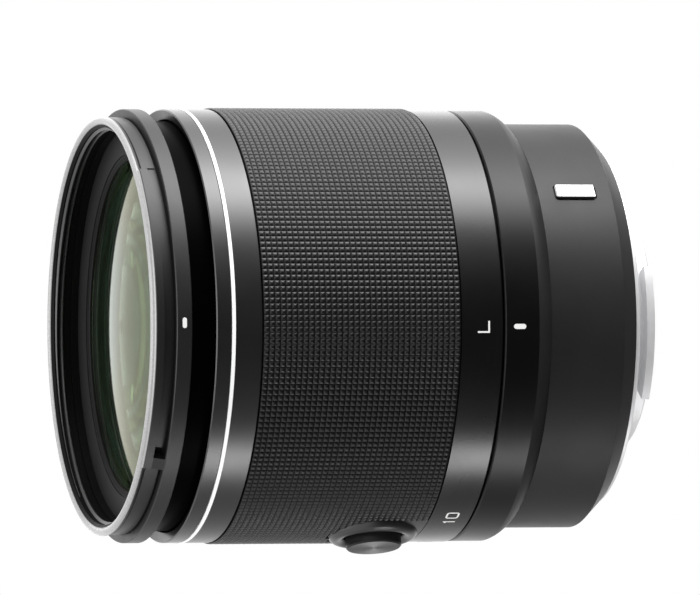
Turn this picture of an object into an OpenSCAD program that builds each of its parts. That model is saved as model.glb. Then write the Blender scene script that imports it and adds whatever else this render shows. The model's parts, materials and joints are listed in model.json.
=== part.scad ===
// Superzoom lens for a small interchangeable-lens camera, retracted and locked.
// The optical axis is Z with the front up; the mount's seat lies at z = 0.
// Angles are counted about Z from -Y, the side that carries the index line.

/* [Barrel lengths, rear to front] */
// Height of the mount flange's rim
flange_h = 0.7; // [0.6:0.1:1.2]
// Height of the bevel at the foot of the rear barrel
rear_bevel_h = 2.4; // [1.6:0.1:3.2]
// Height of the rear barrel's straight wall
rear_h = 10.5; // [9:0.1:14]
// Height of the rounded shoulder under the collar
shoulder_h = 2.3; // [1.5:0.1:3.5]
// Height of the fixed collar that carries the index line
collar_h = 4.9; // [4.2:0.1:7]
// Running gap between the collar and the zoom ring
ring_gap = 0.3; // [0.2:0.05:0.5]
// Height of the scale band
scale_h = 5.9; // [4:0.1:8]
// Height of the rubber grip
grip_h = 28.4; // [26:0.1:36]
// Height of the smooth band between the grip and the accent ring
front_band_h = 3.7; // [3:0.1:6]
// Height of the bright accent ring
accent_h = 0.5; // [0.4:0.1:1.2]
// Height of the zoom ring's nose in front of the accent ring
nose_h = 2.2; // [2:0.1:4]
// Height of front barrel that shows in front of the zoom ring
reveal_h = 3.4; // [2:0.1:6]
// Height of the hood flange
hood_flange_h = 2.2; // [1.8:0.1:4]
// Height of the hood sleeve, up to the front lip
hood_sleeve_h = 3.3; // [3:0.1:4]

/* [Walls and clearances] */
// Wall of the front barrel
barrel_wall = 1.35; // [1.1:0.05:1.8]
// Gap between the front barrel and the zoom ring
slide_gap = 0.25; // [0.2:0.05:0.4]
// Wall of the zoom ring at its smooth bands
ring_wall = 1.4; // [1.3:0.05:2]
// Thickness of the rubber grip
grip_t = 0.8; // [0.6:0.05:1]
// Height of the grip above the smooth bands
grip_proud = 0.2; // [0.1:0.05:0.4]
// Gap between the front barrel and the cam barrel
cam_gap = 0.15; // [0.1:0.05:0.3]
// Wall of the cam barrel
cam_wall = 1.07; // [0.9:0.01:1.4]
// Running clearance of turning and sliding fits, on the radius
run_gap = 0.08; // [0.04:0.01:0.1]
// Wall of the guide tube
guide_wall = 1.05; // [0.8:0.05:1.4]
// Gap between the cam barrel and the rear barrel
rear_gap = 0.3; // [0.2:0.05:0.5]
// Wall of the rear barrel
rear_wall = 0.95; // [0.8:0.05:1.5]
// Thickness of the rear barrel's floor
floor_t = 2.5; // [2.2:0.1:3.5]
// Wall of the relay cell
relay_wall = 1.3; // [1:0.05:1.6]

/* [Mount] */
// Diameter of the flange
flange_d = 50.4; // [48:0.1:52]
// Diameter of the bayonet's spigot
spigot_d = 34.6; // [33.6:0.1:36]
// Diameter of the throat
throat_d = 30.4; // [29.6:0.1:31.4]
// Length of the spigot behind the seat
spigot_h = 4.2; // [4:0.1:5]
// Diameter over the bayonet lugs
lug_d = 38.8; // [37.6:0.1:39.4]
// Thickness of a lug
lug_h = 1.1; // [0.8:0.1:1.4]
// Width of a lug, in degrees
lug_angle = 57; // [45:1:60]
// Middle of the first lug, in degrees
lug_turn = -3; // [-10:1:10]
// Middle of the bright index bar, in degrees
index_turn = 41; // [36:1:48]
// Width of the bright index bar
index_w = 2.4; // [2:0.1:3.4]
// Length of the bright index bar
index_l = 5.7; // [5:0.1:7]

/* [Front ring and front glass] */
// Nominal diameter of the filter thread
filter_d = 55; // [54:0.5:60]
// Depth of the filter thread's profile
thread_depth = 0.4; // [0.3:0.05:0.5]
// Diameter of the front glass
front_glass_d = 47.2; // [45:0.1:48]
// Radius of curvature of the front glass, flat enough to clear a screwed-in filter
front_glass_r = 145; // [140:1:200]
// Width of a hood bayonet rib, in degrees
rib_angle = 88; // [70:1:100]
// Height of a hood bayonet rib above the lip
rib_proud = 0.5; // [0.3:0.05:0.7]

/* [Zoom and lock] */
// Turn of the zoom ring from the lock mark to its other end, in degrees
zoom_turn = 150; // [120:5:150]
// Diameter of the cam followers
follower_d = 2.2; // [1.6:0.1:2.4]
// Place of the lock button round the ring, in degrees
button_turn = -75; // [-90:1:-60]
// Diameter of the lock button
button_d = 7.7; // [7:0.1:8.4]
// Height of the button's face above the smooth bands
button_proud = 1.75; // [1.4:0.05:2.2]
// Travel of the button when it is pressed
button_travel = 0.9; // [0.6:0.1:0.9]

/* [Iris and focus] */
// Diameter of the fully open iris
iris_d = 20; // [19:0.1:21]
// Turn of the iris drive ring from open to closed, in degrees
iris_turn = 15; // [12:1:15]
// Swing of a blade for each degree that the drive ring turns
blade_ratio = 2; // [1.8:0.1:2]
// Travel of the focus carriage
focus_travel = 4; // [3:0.1:4]
// Travel of the stabiliser to each side
shift = 0.8; // [0.5:0.1:0.8]

/* [Hidden] */
$fn = 128;
cut = 0.5;
black = "#1d1d1f";
dark = "#2a2a2c";
steel = "#b9bcbf";
brass = "#c9a94f";
glass = "#b7d3c6";

// Stations along the axis
z_bevel = flange_h + rear_bevel_h;
z_shoulder = z_bevel + rear_h;
z_collar = z_shoulder + shoulder_h;
z_collar_top = z_collar + collar_h;
z_ring = z_collar_top + ring_gap;
z_grip = z_ring + scale_h;
z_grip_top = z_grip + grip_h;
z_accent = z_grip_top + front_band_h;
z_accent_top = z_accent + accent_h;
z_ring_top = z_accent_top + nose_h;
z_hood = z_ring_top + reveal_h;
z_hood_top = z_hood + hood_flange_h;
z_front = z_hood_top + hood_sleeve_h;
z_floor = flange_h + floor_t;

// Radii of the nested tubes, worked out from the filter thread
filter_r = filter_d / 2 - thread_depth;
barrel_in_r = filter_r - 0.05;
barrel_r = barrel_in_r + barrel_wall;
ring_in_r = barrel_r + slide_gap;
band_r = ring_in_r + ring_wall;
grip_r = band_r + grip_proud;
seat_r = grip_r - grip_t;
cam_r = barrel_in_r - cam_gap;
cam_in_r = cam_r - cam_wall;
guide_r = cam_in_r - run_gap;
guide_in_r = guide_r - guide_wall;
rear_in_r = cam_r + rear_gap;
rear_r = rear_in_r + rear_wall;
relay_r = guide_in_r - run_gap;
relay_in_r = relay_r - relay_wall;
collar_r = band_r - 0.08;
shoulder_bow = 40;
edge = 0.2;

// Mount
flange_r = flange_d / 2;
spigot_r = spigot_d / 2;
throat_r = throat_d / 2;
lug_r = lug_d / 2;
lug_count = 3;
lug_setback = 0.3;
seat_in_r = lug_r + 0.6;
relief = 0.2;
step_r = throat_r - 0.6;
step_z = -0.5;
bevel_foot_r = flange_r + 0.5;
rear_bore_r = spigot_r + 1.2;
screw_r = (seat_in_r + flange_r) / 2;
screw_count = 4;
screw_head_r = 1.25;
screw_shank_r = 0.7;
screw_sink = 0.03;
screw_tip_z = z_floor - 0.4;
index_gap = 0.2;
index_corner = 0.5;
index_bevel = 0.2;
index_foot = 0.4;
index_rise = 0.4;
index_z = z_bevel + (rear_h - index_l) / 2 - 0.1;
baffle_t = 0.9;
baffle_window = [14, 10.6];
baffle_corner = 1.2;
contact_turn = 165;
contact_span = 104;
contact_margin = 12;
contact_count = 12;
contact_h = 2.3;
contact_r = throat_r - 1.25;
contact_in_r = throat_r - 2.5;
pad_r = 0.55;
pad_h = 0.3;

// Rear cell and focus unit, stacked on the rear floor
cell_flange_t = 1.2;
rear_glass_r = 10;
rear_cell_r = rear_glass_r + 1.6;
rear_cell_rim_r = guide_in_r - 0.7;
rear_cell_top = z_floor + 3.8;
z_focus = z_floor + cell_flange_t;
focus_base_t = 1.2;
focus_glass_r = 9.1;
carriage_r = focus_glass_r + 1.9;
rod_circle_r = 14.8;
rod_d = 1.6;
rod_margin = 3.5;
motor_d = 6;
motor_h = 4;
motor_margin = 0.6;
lead_r = rear_cell_r + motor_d / 2 + run_gap;
focus_in_r = rear_cell_r + 0.4;
focus_r = max(rod_circle_r + rod_margin, lead_r + motor_d / 2 + motor_margin);
carriage_z = rear_cell_top + 1;
carriage_h = 3.5;
sleeve_h = 5;
sleeve_z = carriage_z - 1;
focus_ring_z = sleeve_z + sleeve_h + focus_travel + 0.4;
focus_top = focus_ring_z + focus_base_t;
z_motor_top = z_focus + focus_base_t + motor_h;
screw_d = 1.4;
screw_bearing = 3;
nut_h = 1.8;
nut_z = carriage_z + 2.2;
board_in_r = focus_r + 0.9;
board_r = rear_cell_rim_r - 1;
board_t = 0.8;
chip_h = 1;

// Zoom ring, cam barrel and guide tube
skirt_h = 3.2;
skirt_in_r = ring_in_r - 0.75;
collar_in_r = ring_in_r + run_gap;
z_pocket = z_ring - skirt_h - 0.6;
z_ledge = z_ring + 0.5;
cam_flange_t = 1.5;
z_cam_flange_top = z_ledge + cam_flange_t;
z_cam = z_floor + cell_flange_t + 0.05;
z_cam_top = z_ring_top - 4.3;
z_guide_top = z_cam_top + 0.1;
slot_w = follower_d + 0.2;
slot_lap = 0.3;
z_barrel = z_cam_flange_top + 0.5;
front_pin_z = z_barrel + follower_d / 2 + 1.2;
cam_lip = 2.4;
front_travel = z_cam_top - cam_lip - front_pin_z;
front_pin_turn = 60;
relay_pin_turn = 0;
pin_count = 3;
retainer_t = 0.9;
retainer_in_r = guide_in_r - 0.7;
seal_h = 0.8;
seal_z = z_ring_top - 1.6;
seal_r = ring_in_r + 0.5;
accent_seat_r = band_r - 0.45;
accent_proud = 0.05;
accent_gap = 0.12;
nose_bevel = 0.15;
nose_slope = 0.45;

// Lock button and its boss
z_button = z_grip + 6.4;
bore_gap = 0.3;
button_r = button_d / 2;
bore_r = button_r + bore_gap;
boss_r = bore_r + 2.3;
boss_top_r = band_r + 0.65;
boss_bed_r = band_r - 0.65;
boss_foot_r = seat_r - 1;
boss_cut = 3;
button_face_r = band_r + button_proud;
pocket_floor_r = ring_in_r + 0.25;
button_foot_r = pocket_floor_r + button_travel + 0.15;
spring_r = 2.3;
spring_wire = 0.36;
spring_turns = 3;
spring_top_r = button_face_r - 0.7;

// Front ring, front cell and front glass
z_shelf = z_hood + 0.9;
z_name_top = z_shelf + 0.5;
thread_r = filter_d / 2;
lip_r = filter_r + 1.94;
lip_bead = 0.6;
lip_chamfer = 0.7;
thread_h = 2.3;
z_thread = z_front - lip_chamfer - thread_h;
lip_line = 0.12;
sleeve_r = lip_r - 0.14;
hood_flange_r = band_r - 0.01;
hood_edge = 0.12;
groove_w = 0.3;
groove_r = sleeve_r - 0.5;
rib_turn = 3;
rib_h = 1.3;
rib_top = z_front - 0.4;
rib_z = rib_top - rib_h;
rib_r = lip_r + rib_proud;
rib_bevel = 0.25;
rib_slant = 50;
rib_stop_angle = 3.6;
channel_r = sleeve_r - 0.15;
channel_over = 1.5;
pocket_r = sleeve_r - 0.9;
pocket_angle = 2.4;
front_glass_rim_r = front_glass_d / 2;
cell_bore_r = front_glass_rim_r + 0.1;
front_edge_z = z_shelf - 0.6;
cement_r = 85;
front_glass_t = 1.1;
glass_edge_h = front_glass_t + sag(cement_r, front_glass_rim_r)
    - sag(front_glass_r, front_glass_rim_r);
doublet_edge_h = 3.8;
second_rear_r = 200;
second_edge_z = front_edge_z - glass_edge_h;
second_rear_z = front_edge_z - doublet_edge_h;
cell_ledge_r = front_glass_rim_r - 1.4;
cell_foot_z = second_rear_z - 1.7;
name_ring_in_r = cell_bore_r + 0.2;
retainer_lip = 0.5;
retainer_gap = 0.02;
ledge_gap = 0.02;

// Relay cell, stabiliser and iris, stacked in front of the focus unit
relay_pin_z = z_floor + cell_flange_t + 4.1;
relay_foot_z = relay_pin_z - follower_d / 2 - 0.1;
relay_z = focus_top + 1.4;
relay_glass_r = 9.6;
relay_tube_r = relay_glass_r + 1.6;
relay_floor_z = relay_z + 5.5;
relay_floor_t = 1.5;
z_guide_plate = relay_floor_z + relay_floor_t + 0.05;
guide_plate_t = 0.7;
z_frame = z_guide_plate + guide_plate_t + 0.1;
frame_t = 1.2;
frame_r = relay_in_r - 2.9;
shift_glass_r = 9.9;
shift_cell_r = shift_glass_r + 1.3;
key = [4, 1.6, 0.5];
key_circle_r = 16.2;
key_gap = 0.05;
coil_h = 0.4;
coil_turns_at = [45, 135];
coil_circle_r = 15.8;
z_iris = z_frame + frame_t + coil_h + 0.95;
iris_ledge_r = relay_in_r - 0.9;
iris_base_t = 0.8;
iris_r = iris_d / 2;
pivot_circle_r = iris_r + 4.5;
pivot_d = 1;
drive_lead = 16;
drive_pin_d = 0.8;
blade_count = 7;
blade_t = 0.12;
blade_pitch = 0.2;
blade_span = 95;
blade_z = z_iris + iris_base_t + 0.1;
z_drive = blade_z + blade_count * blade_pitch + 0.15;
drive_t = 0.65;
drive_r = pivot_circle_r + 3.4;
rim_in_r = drive_r + 0.1;
rim_r = rim_in_r + 1;
z_rim_top = z_drive + drive_t + 0.1;
cover_t = 0.6;
z_relay_top = z_rim_top + cover_t;

// Variator, set in the front of the guide tube
variator_h = 13;
retainer_spigot = 1.5;
z_variator = z_guide_top - variator_h - retainer_spigot;
variator_glass_r = 13.1;
variator_curve = 34;
variator_seat_z = z_variator + 4.5;
variator_ledge_z = z_variator + 7.2;
hub_r = variator_glass_r + 1.5;
relay_stop_gap = 1.3;
relay_travel = z_variator - z_relay_top - relay_stop_gap;

// Shared shapes

function polar(r, a) = r * [cos(a), sin(a)];
function arc(r, a0, a1, n) = [for (i = [0:n]) polar(r, a0 + (a1 - a0) * i / n)];
function sag(curve, r) = curve - sqrt(curve * curve - r * r);
function spin(p, a) = [p.x * cos(a) - p.y * sin(a), p.x * sin(a) + p.y * cos(a)];

// Arc from p to q that turns left by the given angle
function bowed(p, q, turn, n) = let (half = (q - p) / 2,
    centre = p + half + [-half.y, half.x] / tan(turn / 2))
    [for (i = [0:n]) centre + spin(p - centre, turn * i / n)];

// Section of a bar that stands on X = 0, with bevelled top edges
function bevelled(h, w, bevel) = [[0, -w / 2], [h - bevel, -w / 2], [h, bevel - w / 2],
    [h, w / 2 - bevel], [h - bevel, w / 2], [0, w / 2]];

// Turns local +X to the given angle, so children are drawn with X as their radius
module at_angle(a) { rotate([0, 0, a - 90]) children(); }

// Children are drawn once for each of count equal steps
module around(count, first = 0) {
    for (i = [0:count - 1]) at_angle(first + i * 360 / count) children();
}

module ring(r_out, r_in, z0, z1) {
    rotate_extrude() translate([r_in, z0]) square([r_out - r_in, z1 - z0]);
}

// Part of a ring, centred on local +X
module sector(r_out, r_in, z0, z1, angle) {
    rotate([0, 0, -angle / 2]) rotate_extrude(angle = angle)
        translate([r_in, z0]) square([r_out - r_in, z1 - z0]);
}

// Cylinder along local +X
module radial_pin(d, r0, r1, z) {
    translate([r0, 0, z]) rotate([0, 90, 0]) cylinder(d = d, h = r1 - r0);
}

// Straight slot along the axis, with round ends, through a tube wall on local +X
module straight_slot(w, z0, z1, r0, r1) {
    translate([r0, -w / 2, z0]) cube([r1 - r0, w, z1 - z0]);
    for (z = [z0, z1]) radial_pin(w, r0, r1, z);
}

// Helical slot that climbs by rise while it runs back by turn, with round ends.
// It is a chain of short straight cuts, each tilted to the helix at its own middle.
module helical_slot(w, z0, rise, turn, r0, r1, steps = 10) {
    r = (r0 + r1) / 2;
    slope = atan(rise / (r * turn * PI / 180));
    run = 2 * r * tan(turn / steps / 2) / cos(slope);
    for (i = [0:steps - 1]) {
        t = (i + 0.5) / steps;
        lap_front = i < steps - 1 ? slot_lap : 0;
        lap_back = i > 0 ? slot_lap : 0;
        rotate([0, 0, -turn * t]) translate([r0, 0, z0 + rise * t]) rotate([-slope, 0, 0])
            translate([0, -run / 2 - lap_front, -w / 2])
                cube([r1 - r0, run + lap_front + lap_back, w]);
    }
    radial_pin(w, r0, r1, z0);
    rotate([0, 0, -turn]) radial_pin(w, r0, r1, z0 + rise);
}

// Lens with spherical faces; a negative curve is hollow and 0 is flat
module lens(r, z_rear, z_front, front_curve, rear_curve) {
    front_sag = front_curve == 0 ? 0 : sag(abs(front_curve), r);
    rear_sag = rear_curve == 0 ? 0 : sag(abs(rear_curve), r);
    $fn = 360;
    difference() {
        union() {
            translate([0, 0, z_rear]) cylinder(r = r, h = z_front - z_rear);
            if (front_curve > 0) intersection() {
                translate([0, 0, z_front + front_sag - front_curve]) sphere(front_curve);
                translate([0, 0, z_front - 0.01]) cylinder(r = r, h = front_sag + 1);
            }
            if (rear_curve > 0) intersection() {
                translate([0, 0, z_rear - rear_sag + rear_curve]) sphere(rear_curve);
                translate([0, 0, z_rear - rear_sag - 1]) cylinder(r = r, h = rear_sag + 1.01);
            }
        }
        if (front_curve < 0)
            translate([0, 0, z_front - front_sag - front_curve]) sphere(-front_curve);
        if (rear_curve < 0)
            translate([0, 0, z_rear + rear_sag + rear_curve]) sphere(-rear_curve);
    }
}

// Flat shape with round ends, along local Y
module stadium(l, w) {
    square([w, l - w], center = true);
    for (s = [-1, 1]) translate([0, s * (l - w) / 2]) circle(d = w);
}

// Flat rectangle with round corners
module rounded(size, corner) {
    square([size.x - 2 * corner, size.y], center = true);
    square([size.x, size.y - 2 * corner], center = true);
    for (x = [-1, 1], y = [-1, 1])
        translate([x * (size.x / 2 - corner), y * (size.y / 2 - corner)]) circle(corner);
}

// Rear barrel and mount

module rear_barrel() {
    color(black) difference() {
        rotate_extrude() polygon(concat(
            [[rear_bore_r, flange_h], [bevel_foot_r, flange_h], [rear_r, z_bevel]],
            bowed([rear_r, z_shoulder], [collar_r, z_collar], shoulder_bow, 12),
            [[collar_r, z_collar_top - edge], [collar_r - edge, z_collar_top],
            [collar_in_r, z_collar_top], [collar_in_r, z_pocket], [rear_in_r, z_pocket],
            [rear_in_r, z_floor], [rear_bore_r, z_floor]]
        ));
        around(screw_count, 45) translate([screw_r, 0, 0])
            cylinder(r = screw_shank_r, h = screw_tip_z);
        at_index() index_block(index_gap, index_foot + cut);
    }
}

// Children are drawn with X as the radius through the middle of the index bar's foot
module at_index() {
    at_angle(index_turn) translate([rear_r - index_foot, 0, index_z + index_l / 2]) children();
}

// Block of the index bar's outline, widened by gap
module index_block(gap, h) {
    rotate([90, 0, 90]) linear_extrude(h)
        rounded([index_w + 2 * gap, index_l + 2 * gap], index_corner + gap);
}

module mount_plate() {
    color(steel) difference() {
        union() {
            rotate_extrude() polygon([
                [step_r, flange_h], [flange_r, flange_h], [flange_r, hood_edge],
                [flange_r - hood_edge, 0], [seat_in_r, 0], [seat_in_r, relief],
                [spigot_r, relief], [spigot_r, -spigot_h + edge], [spigot_r - edge, -spigot_h],
                [throat_r, -spigot_h], [throat_r, step_z], [step_r, step_z]
            ]);
            around(lug_count, lug_turn)
                sector(lug_r, spigot_r - cut, lug_setback - spigot_h,
                    lug_setback - spigot_h + lug_h, lug_angle);
        }
        around(screw_count, 45) translate([screw_r, 0, 0]) {
            cylinder(r1 = screw_head_r, r2 = screw_shank_r, h = screw_head_r - screw_shank_r);
            cylinder(r = screw_shank_r, h = flange_h + cut);
        }
        at_angle(90) translate([screw_r, 0, -cut]) linear_extrude(flange_h + 2 * cut)
            stadium(4, 2.2);
    }
}

module mount_screws() {
    head_h = screw_head_r - screw_shank_r;
    color(steel) around(screw_count, 45) translate([screw_r, 0, 0]) difference() {
        union() {
            translate([0, 0, screw_sink])
                cylinder(r1 = screw_head_r - screw_sink, r2 = screw_shank_r, h = head_h - screw_sink);
            translate([0, 0, head_h]) cylinder(r = screw_shank_r, h = screw_tip_z - head_h);
        }
        for (a = [0, 90]) rotate([0, 0, a]) translate([-0.7, -0.13, -cut])
            cube([1.4, 0.26, cut + 0.3]);
    }
}

// Bar with a bevelled top, set into the rear barrel
module mount_index() {
    h = index_foot + index_rise;
    color(steel) at_index() intersection() {
        index_block(0, h);
        translate([0, 0, -index_l / 2]) linear_extrude(index_l)
            polygon(bevelled(h, index_w, index_bevel));
        translate([0, index_w / 2, 0]) rotate([90, 0, 0]) linear_extrude(index_w)
            polygon(bevelled(h, index_l, index_bevel));
    }
}

module contact_block() {
    color(black) at_angle(contact_turn)
        sector(throat_r, contact_in_r, step_z - baffle_t - contact_h, step_z - baffle_t,
            contact_span);
}

module contact_pins() {
    pitch = (contact_span - contact_margin) / (contact_count - 1);
    face_z = step_z - baffle_t - contact_h;
    color(brass) for (i = [0:contact_count - 1])
        at_angle(contact_turn + (i - (contact_count - 1) / 2) * pitch)
            translate([contact_r, 0, face_z - pad_h]) cylinder(r = pad_r, h = pad_h);
}

// Light baffle with a frame-shaped window
module rear_baffle() {
    color(black) difference() {
        translate([0, 0, step_z - baffle_t]) cylinder(r = throat_r, h = baffle_t);
        translate([0, 0, step_z - baffle_t - cut]) linear_extrude(baffle_t + 2 * cut)
            rounded(baffle_window, baffle_corner);
    }
}

module rear_cell() {
    color(dark) rotate_extrude() polygon([
        [rear_glass_r, 0], [rear_cell_r, 0], [rear_cell_r, z_floor], [rear_cell_rim_r, z_floor],
        [rear_cell_rim_r, z_floor + cell_flange_t], [rear_cell_r, z_floor + cell_flange_t],
        [rear_cell_r, rear_cell_top], [rear_glass_r, rear_cell_top]
    ]);
}

module rear_lens() {
    color(glass) lens(rear_glass_r, 1, rear_cell_top - 2, 34, 60);
}

// Board with a gap for the flexible lead, and its chips
module circuit_board() {
    z = z_floor + cell_flange_t;
    color("#1f5a3a") {
        at_angle(180) sector(board_r, board_in_r, z, z + board_t, 300);
        for (i = [-2:2]) at_angle(180 + i * 50)
            translate([board_in_r + 0.6, -2.2, z + board_t]) cube([board_r - board_in_r - 1.2, 4.4, chip_h]);
    }
}

// Guide tube and cam barrel

module guide_tube() {
    color(dark) difference() {
        union() {
            ring(guide_r, guide_in_r, z_floor, z_guide_top);
            ring(rear_in_r - 0.1, guide_in_r, z_floor, z_floor + cell_flange_t);
        }
        around(pin_count, front_pin_turn) straight_slot(slot_w, front_pin_z,
            front_pin_z + front_travel, guide_in_r - cut, guide_r + cut);
        around(pin_count, relay_pin_turn) straight_slot(slot_w, relay_pin_z,
            relay_pin_z + relay_travel, guide_in_r - cut, guide_r + cut);
    }
}

module cam_retainer() {
    color(steel) rotate_extrude() polygon([
        [retainer_in_r, z_guide_top - retainer_spigot], [guide_in_r, z_guide_top - retainer_spigot],
        [guide_in_r, z_guide_top], [cam_r - 0.1, z_guide_top],
        [cam_r - 0.1, z_guide_top + retainer_t], [retainer_in_r, z_guide_top + retainer_t]
    ]);
}

module cam_barrel() {
    color("#5b5d60") difference() {
        union() {
            ring(cam_r, cam_in_r, z_cam, z_cam_top);
            ring(ring_in_r, cam_in_r, z_ledge, z_cam_flange_top);
        }
        around(pin_count, front_pin_turn) helical_slot(slot_w, front_pin_z, front_travel,
            zoom_turn, cam_in_r - cut, cam_r + cut);
        around(pin_count, relay_pin_turn) helical_slot(slot_w, relay_pin_z, relay_travel,
            zoom_turn, cam_in_r - cut, cam_r + cut);
    }
}

// Zoom ring

module zoom_ring() {
    color(black) difference() {
        rotate_extrude() polygon([
            [skirt_in_r, z_ring - skirt_h], [ring_in_r, z_ring - skirt_h], [ring_in_r, z_ring],
            [band_r - edge, z_ring], [band_r, z_ring + edge], [band_r, z_grip],
            [seat_r, z_grip], [seat_r, z_grip_top], [band_r, z_grip_top], [band_r, z_accent],
            [accent_seat_r, z_accent], [accent_seat_r, z_accent_top + accent_gap],
            [band_r, z_accent_top + accent_gap],
            [band_r, z_ring_top - nose_bevel], [band_r - nose_bevel, z_ring_top],
            [ring_in_r, z_ring_top - nose_slope], [ring_in_r, seal_z + seal_h],
            [seal_r, seal_z + seal_h], [seal_r, seal_z], [ring_in_r, seal_z],
            [ring_in_r, z_ledge], [skirt_in_r, z_ledge]
        ]);
        at_angle(button_turn) radial_pin(2 * bore_r, pocket_floor_r, band_r + cut, z_button);
    }
}

// Outline of the button's boss: round in front, open to the scale band behind
module boss_outline(gap) {
    r = boss_r - gap;
    reach = z_button - z_grip - gap;
    circle(r);
    translate([0, -r]) square([reach, 2 * r]);
}

// Children are drawn with their Z as the radius through the button's middle
module at_button(r) {
    at_angle(button_turn) translate([r, 0, z_button]) rotate([0, 90, 0]) children();
}

module zoom_grip() {
    color("#19191a") difference() {
        ring(grip_r, seat_r, z_grip + 0.1, z_grip_top - 0.1);
        at_button(seat_r - boss_cut) linear_extrude(2 * boss_cut) boss_outline(0);
    }
}

module accent_ring() {
    color("#d5d7d9") ring(band_r + accent_proud, accent_seat_r, z_accent, z_accent_top);
}

module barrel_seal() {
    color("#101010") ring(seal_r, barrel_r + run_gap, seal_z, seal_z + seal_h);
}

// Smooth patch that carries a raised, round-topped ring round the button
module button_boss() {
    bed = boss_bed_r - boss_foot_r;
    rise = boss_top_r - boss_bed_r;
    in_r = bore_r - 0.2;
    half_w = (boss_r - 0.1 - in_r) / 2;
    color(black) difference() {
        union() {
            intersection() {
                ring(band_r, seat_r, z_grip, z_grip_top);
                at_button(seat_r - boss_cut) linear_extrude(2 * boss_cut) boss_outline(0.1);
            }
            at_button(boss_foot_r) rotate_extrude() polygon(concat(
                [[in_r, 0], [in_r + 2 * half_w, 0]],
                [for (p = arc(1, 0, 180, 16)) [in_r + half_w * (1 + p.x), bed + rise * p.y]]
            ));
        }
        translate([0, 0, z_grip - cut]) cylinder(r = seat_r, h = grip_h);
        at_button(seat_r - boss_cut) cylinder(r = bore_r, h = 3 * boss_cut);
    }
}

module lock_button() {
    chamfer = 0.2;
    hollow_r = spring_r + 0.6;
    color("#3a3a3c") at_button(0) rotate_extrude() polygon([
        [0, spring_top_r], [hollow_r, spring_top_r], [hollow_r, button_foot_r],
        [button_r, button_foot_r], [button_r, button_face_r - chamfer],
        [button_r - chamfer, button_face_r], [0, button_face_r]
    ]);
}

// Coil spring between the pocket's floor and the button, swept as one tube
module lock_spring() {
    sides = 6;
    rings = 16 * spring_turns;
    h = spring_top_r - pocket_floor_r - spring_wire - 0.02;
    points = [for (i = [0:rings], j = [0:sides - 1])
        let (a = 360 * spring_turns * i / rings, b = 360 * j / sides,
            p = polar(spring_r + spring_wire / 2 * cos(b), a))
        [p.x, p.y, h * i / rings + spring_wire / 2 * sin(b)]];
    walls = [for (i = [0:rings - 1], j = [0:sides - 1])
        let (a = sides * i + j, b = sides * i + (j + 1) % sides)
        each [[a, b + sides, b], [a, a + sides, b + sides]]];
    caps = [[for (j = [0:sides - 1]) j],
        [for (j = [sides - 1:-1:0]) sides * rings + j]];
    color(steel) at_button(pocket_floor_r + spring_wire / 2 + 0.01)
        polyhedron(points, concat(walls, caps), convexity = 8);
}

// Front barrel

module front_barrel() {
    color("#161617") difference() {
        ring(barrel_r, barrel_in_r, z_barrel, z_shelf);
        around(pin_count, front_pin_turn)
            radial_pin(follower_d, barrel_in_r - cut, barrel_r + cut, front_pin_z);
    }
}

module front_followers() {
    color(brass) around(pin_count, front_pin_turn)
        radial_pin(follower_d, guide_in_r + 0.25, barrel_r - 0.1, front_pin_z);
}

// Filter ring with a rounded lip and the two ribs of the hood bayonet.
// Behind each rib runs a channel that ends in a pocket and a stop.
module front_ring() {
    bead = [lip_r - lip_bead, z_front - lip_bead];
    bead_end = bead + polar(lip_bead, -30);
    groove_z = z_hood_top + groove_w;
    stop_at = -rib_angle / 2;
    pocket_at = stop_at + rib_stop_angle;
    color(black) {
        difference() {
            rotate_extrude() polygon(concat(
                [[filter_r, z_shelf], [filter_r, z_thread], [thread_r, z_thread],
                [thread_r, z_front - lip_chamfer]],
                [for (p = arc(lip_bead, 150, -30, 16)) bead + p],
                [[sleeve_r - lip_line, bead_end.y - lip_line], [sleeve_r, bead_end.y - 2 * lip_line],
                [sleeve_r, groove_z], [groove_r, groove_z], [groove_r, z_hood_top],
                [hood_flange_r - hood_edge, z_hood_top], [hood_flange_r, z_hood_top - hood_edge],
                [hood_flange_r, z_hood + hood_edge], [hood_flange_r - hood_edge, z_hood],
                [barrel_r, z_hood], [barrel_r, z_shelf]]
            ));
            for (side = [0, 180]) at_angle(rib_turn + side) {
                cut_arc(channel_r, pocket_at, rib_angle / 2 + channel_over);
                cut_arc(pocket_r, pocket_at, pocket_at + pocket_angle);
            }
        }
        for (side = [0, 180]) at_angle(rib_turn + side) {
            hood_rib(bead.x);
            rotate([0, 0, stop_at]) rotate_extrude(angle = rib_stop_angle) polygon([
                [bead.x, z_hood_top - cut], [hood_flange_r - hood_edge, z_hood_top - cut],
                [hood_flange_r - hood_edge, z_hood_top], [rib_r, rib_z], [rib_r, rib_z + cut],
                [bead.x, rib_z + cut]
            ]);
        }
    }
}

// Room cut behind a rib, down to floor_r, from angle a0 to angle a1
module cut_arc(floor_r, a0, a1) {
    rotate([0, 0, (a0 + a1) / 2])
        sector(rib_r, floor_r, z_hood_top + groove_w / 2, rib_z, a1 - a0);
}

// Rib with a bevelled front edge and one slanted end
module hood_rib(in_r) {
    difference() {
        rotate([0, 0, -rib_angle / 2]) rotate_extrude(angle = rib_angle) polygon([
            [in_r, rib_z], [rib_r, rib_z], [rib_r, rib_top - rib_bevel],
            [rib_r - rib_bevel, rib_top], [in_r, rib_top]
        ]);
        rotate([0, 0, rib_angle / 2]) translate([in_r - cut, 0, rib_z]) rotate([rib_slant, 0, 0])
            cube(3 * rib_h);
    }
}

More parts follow.
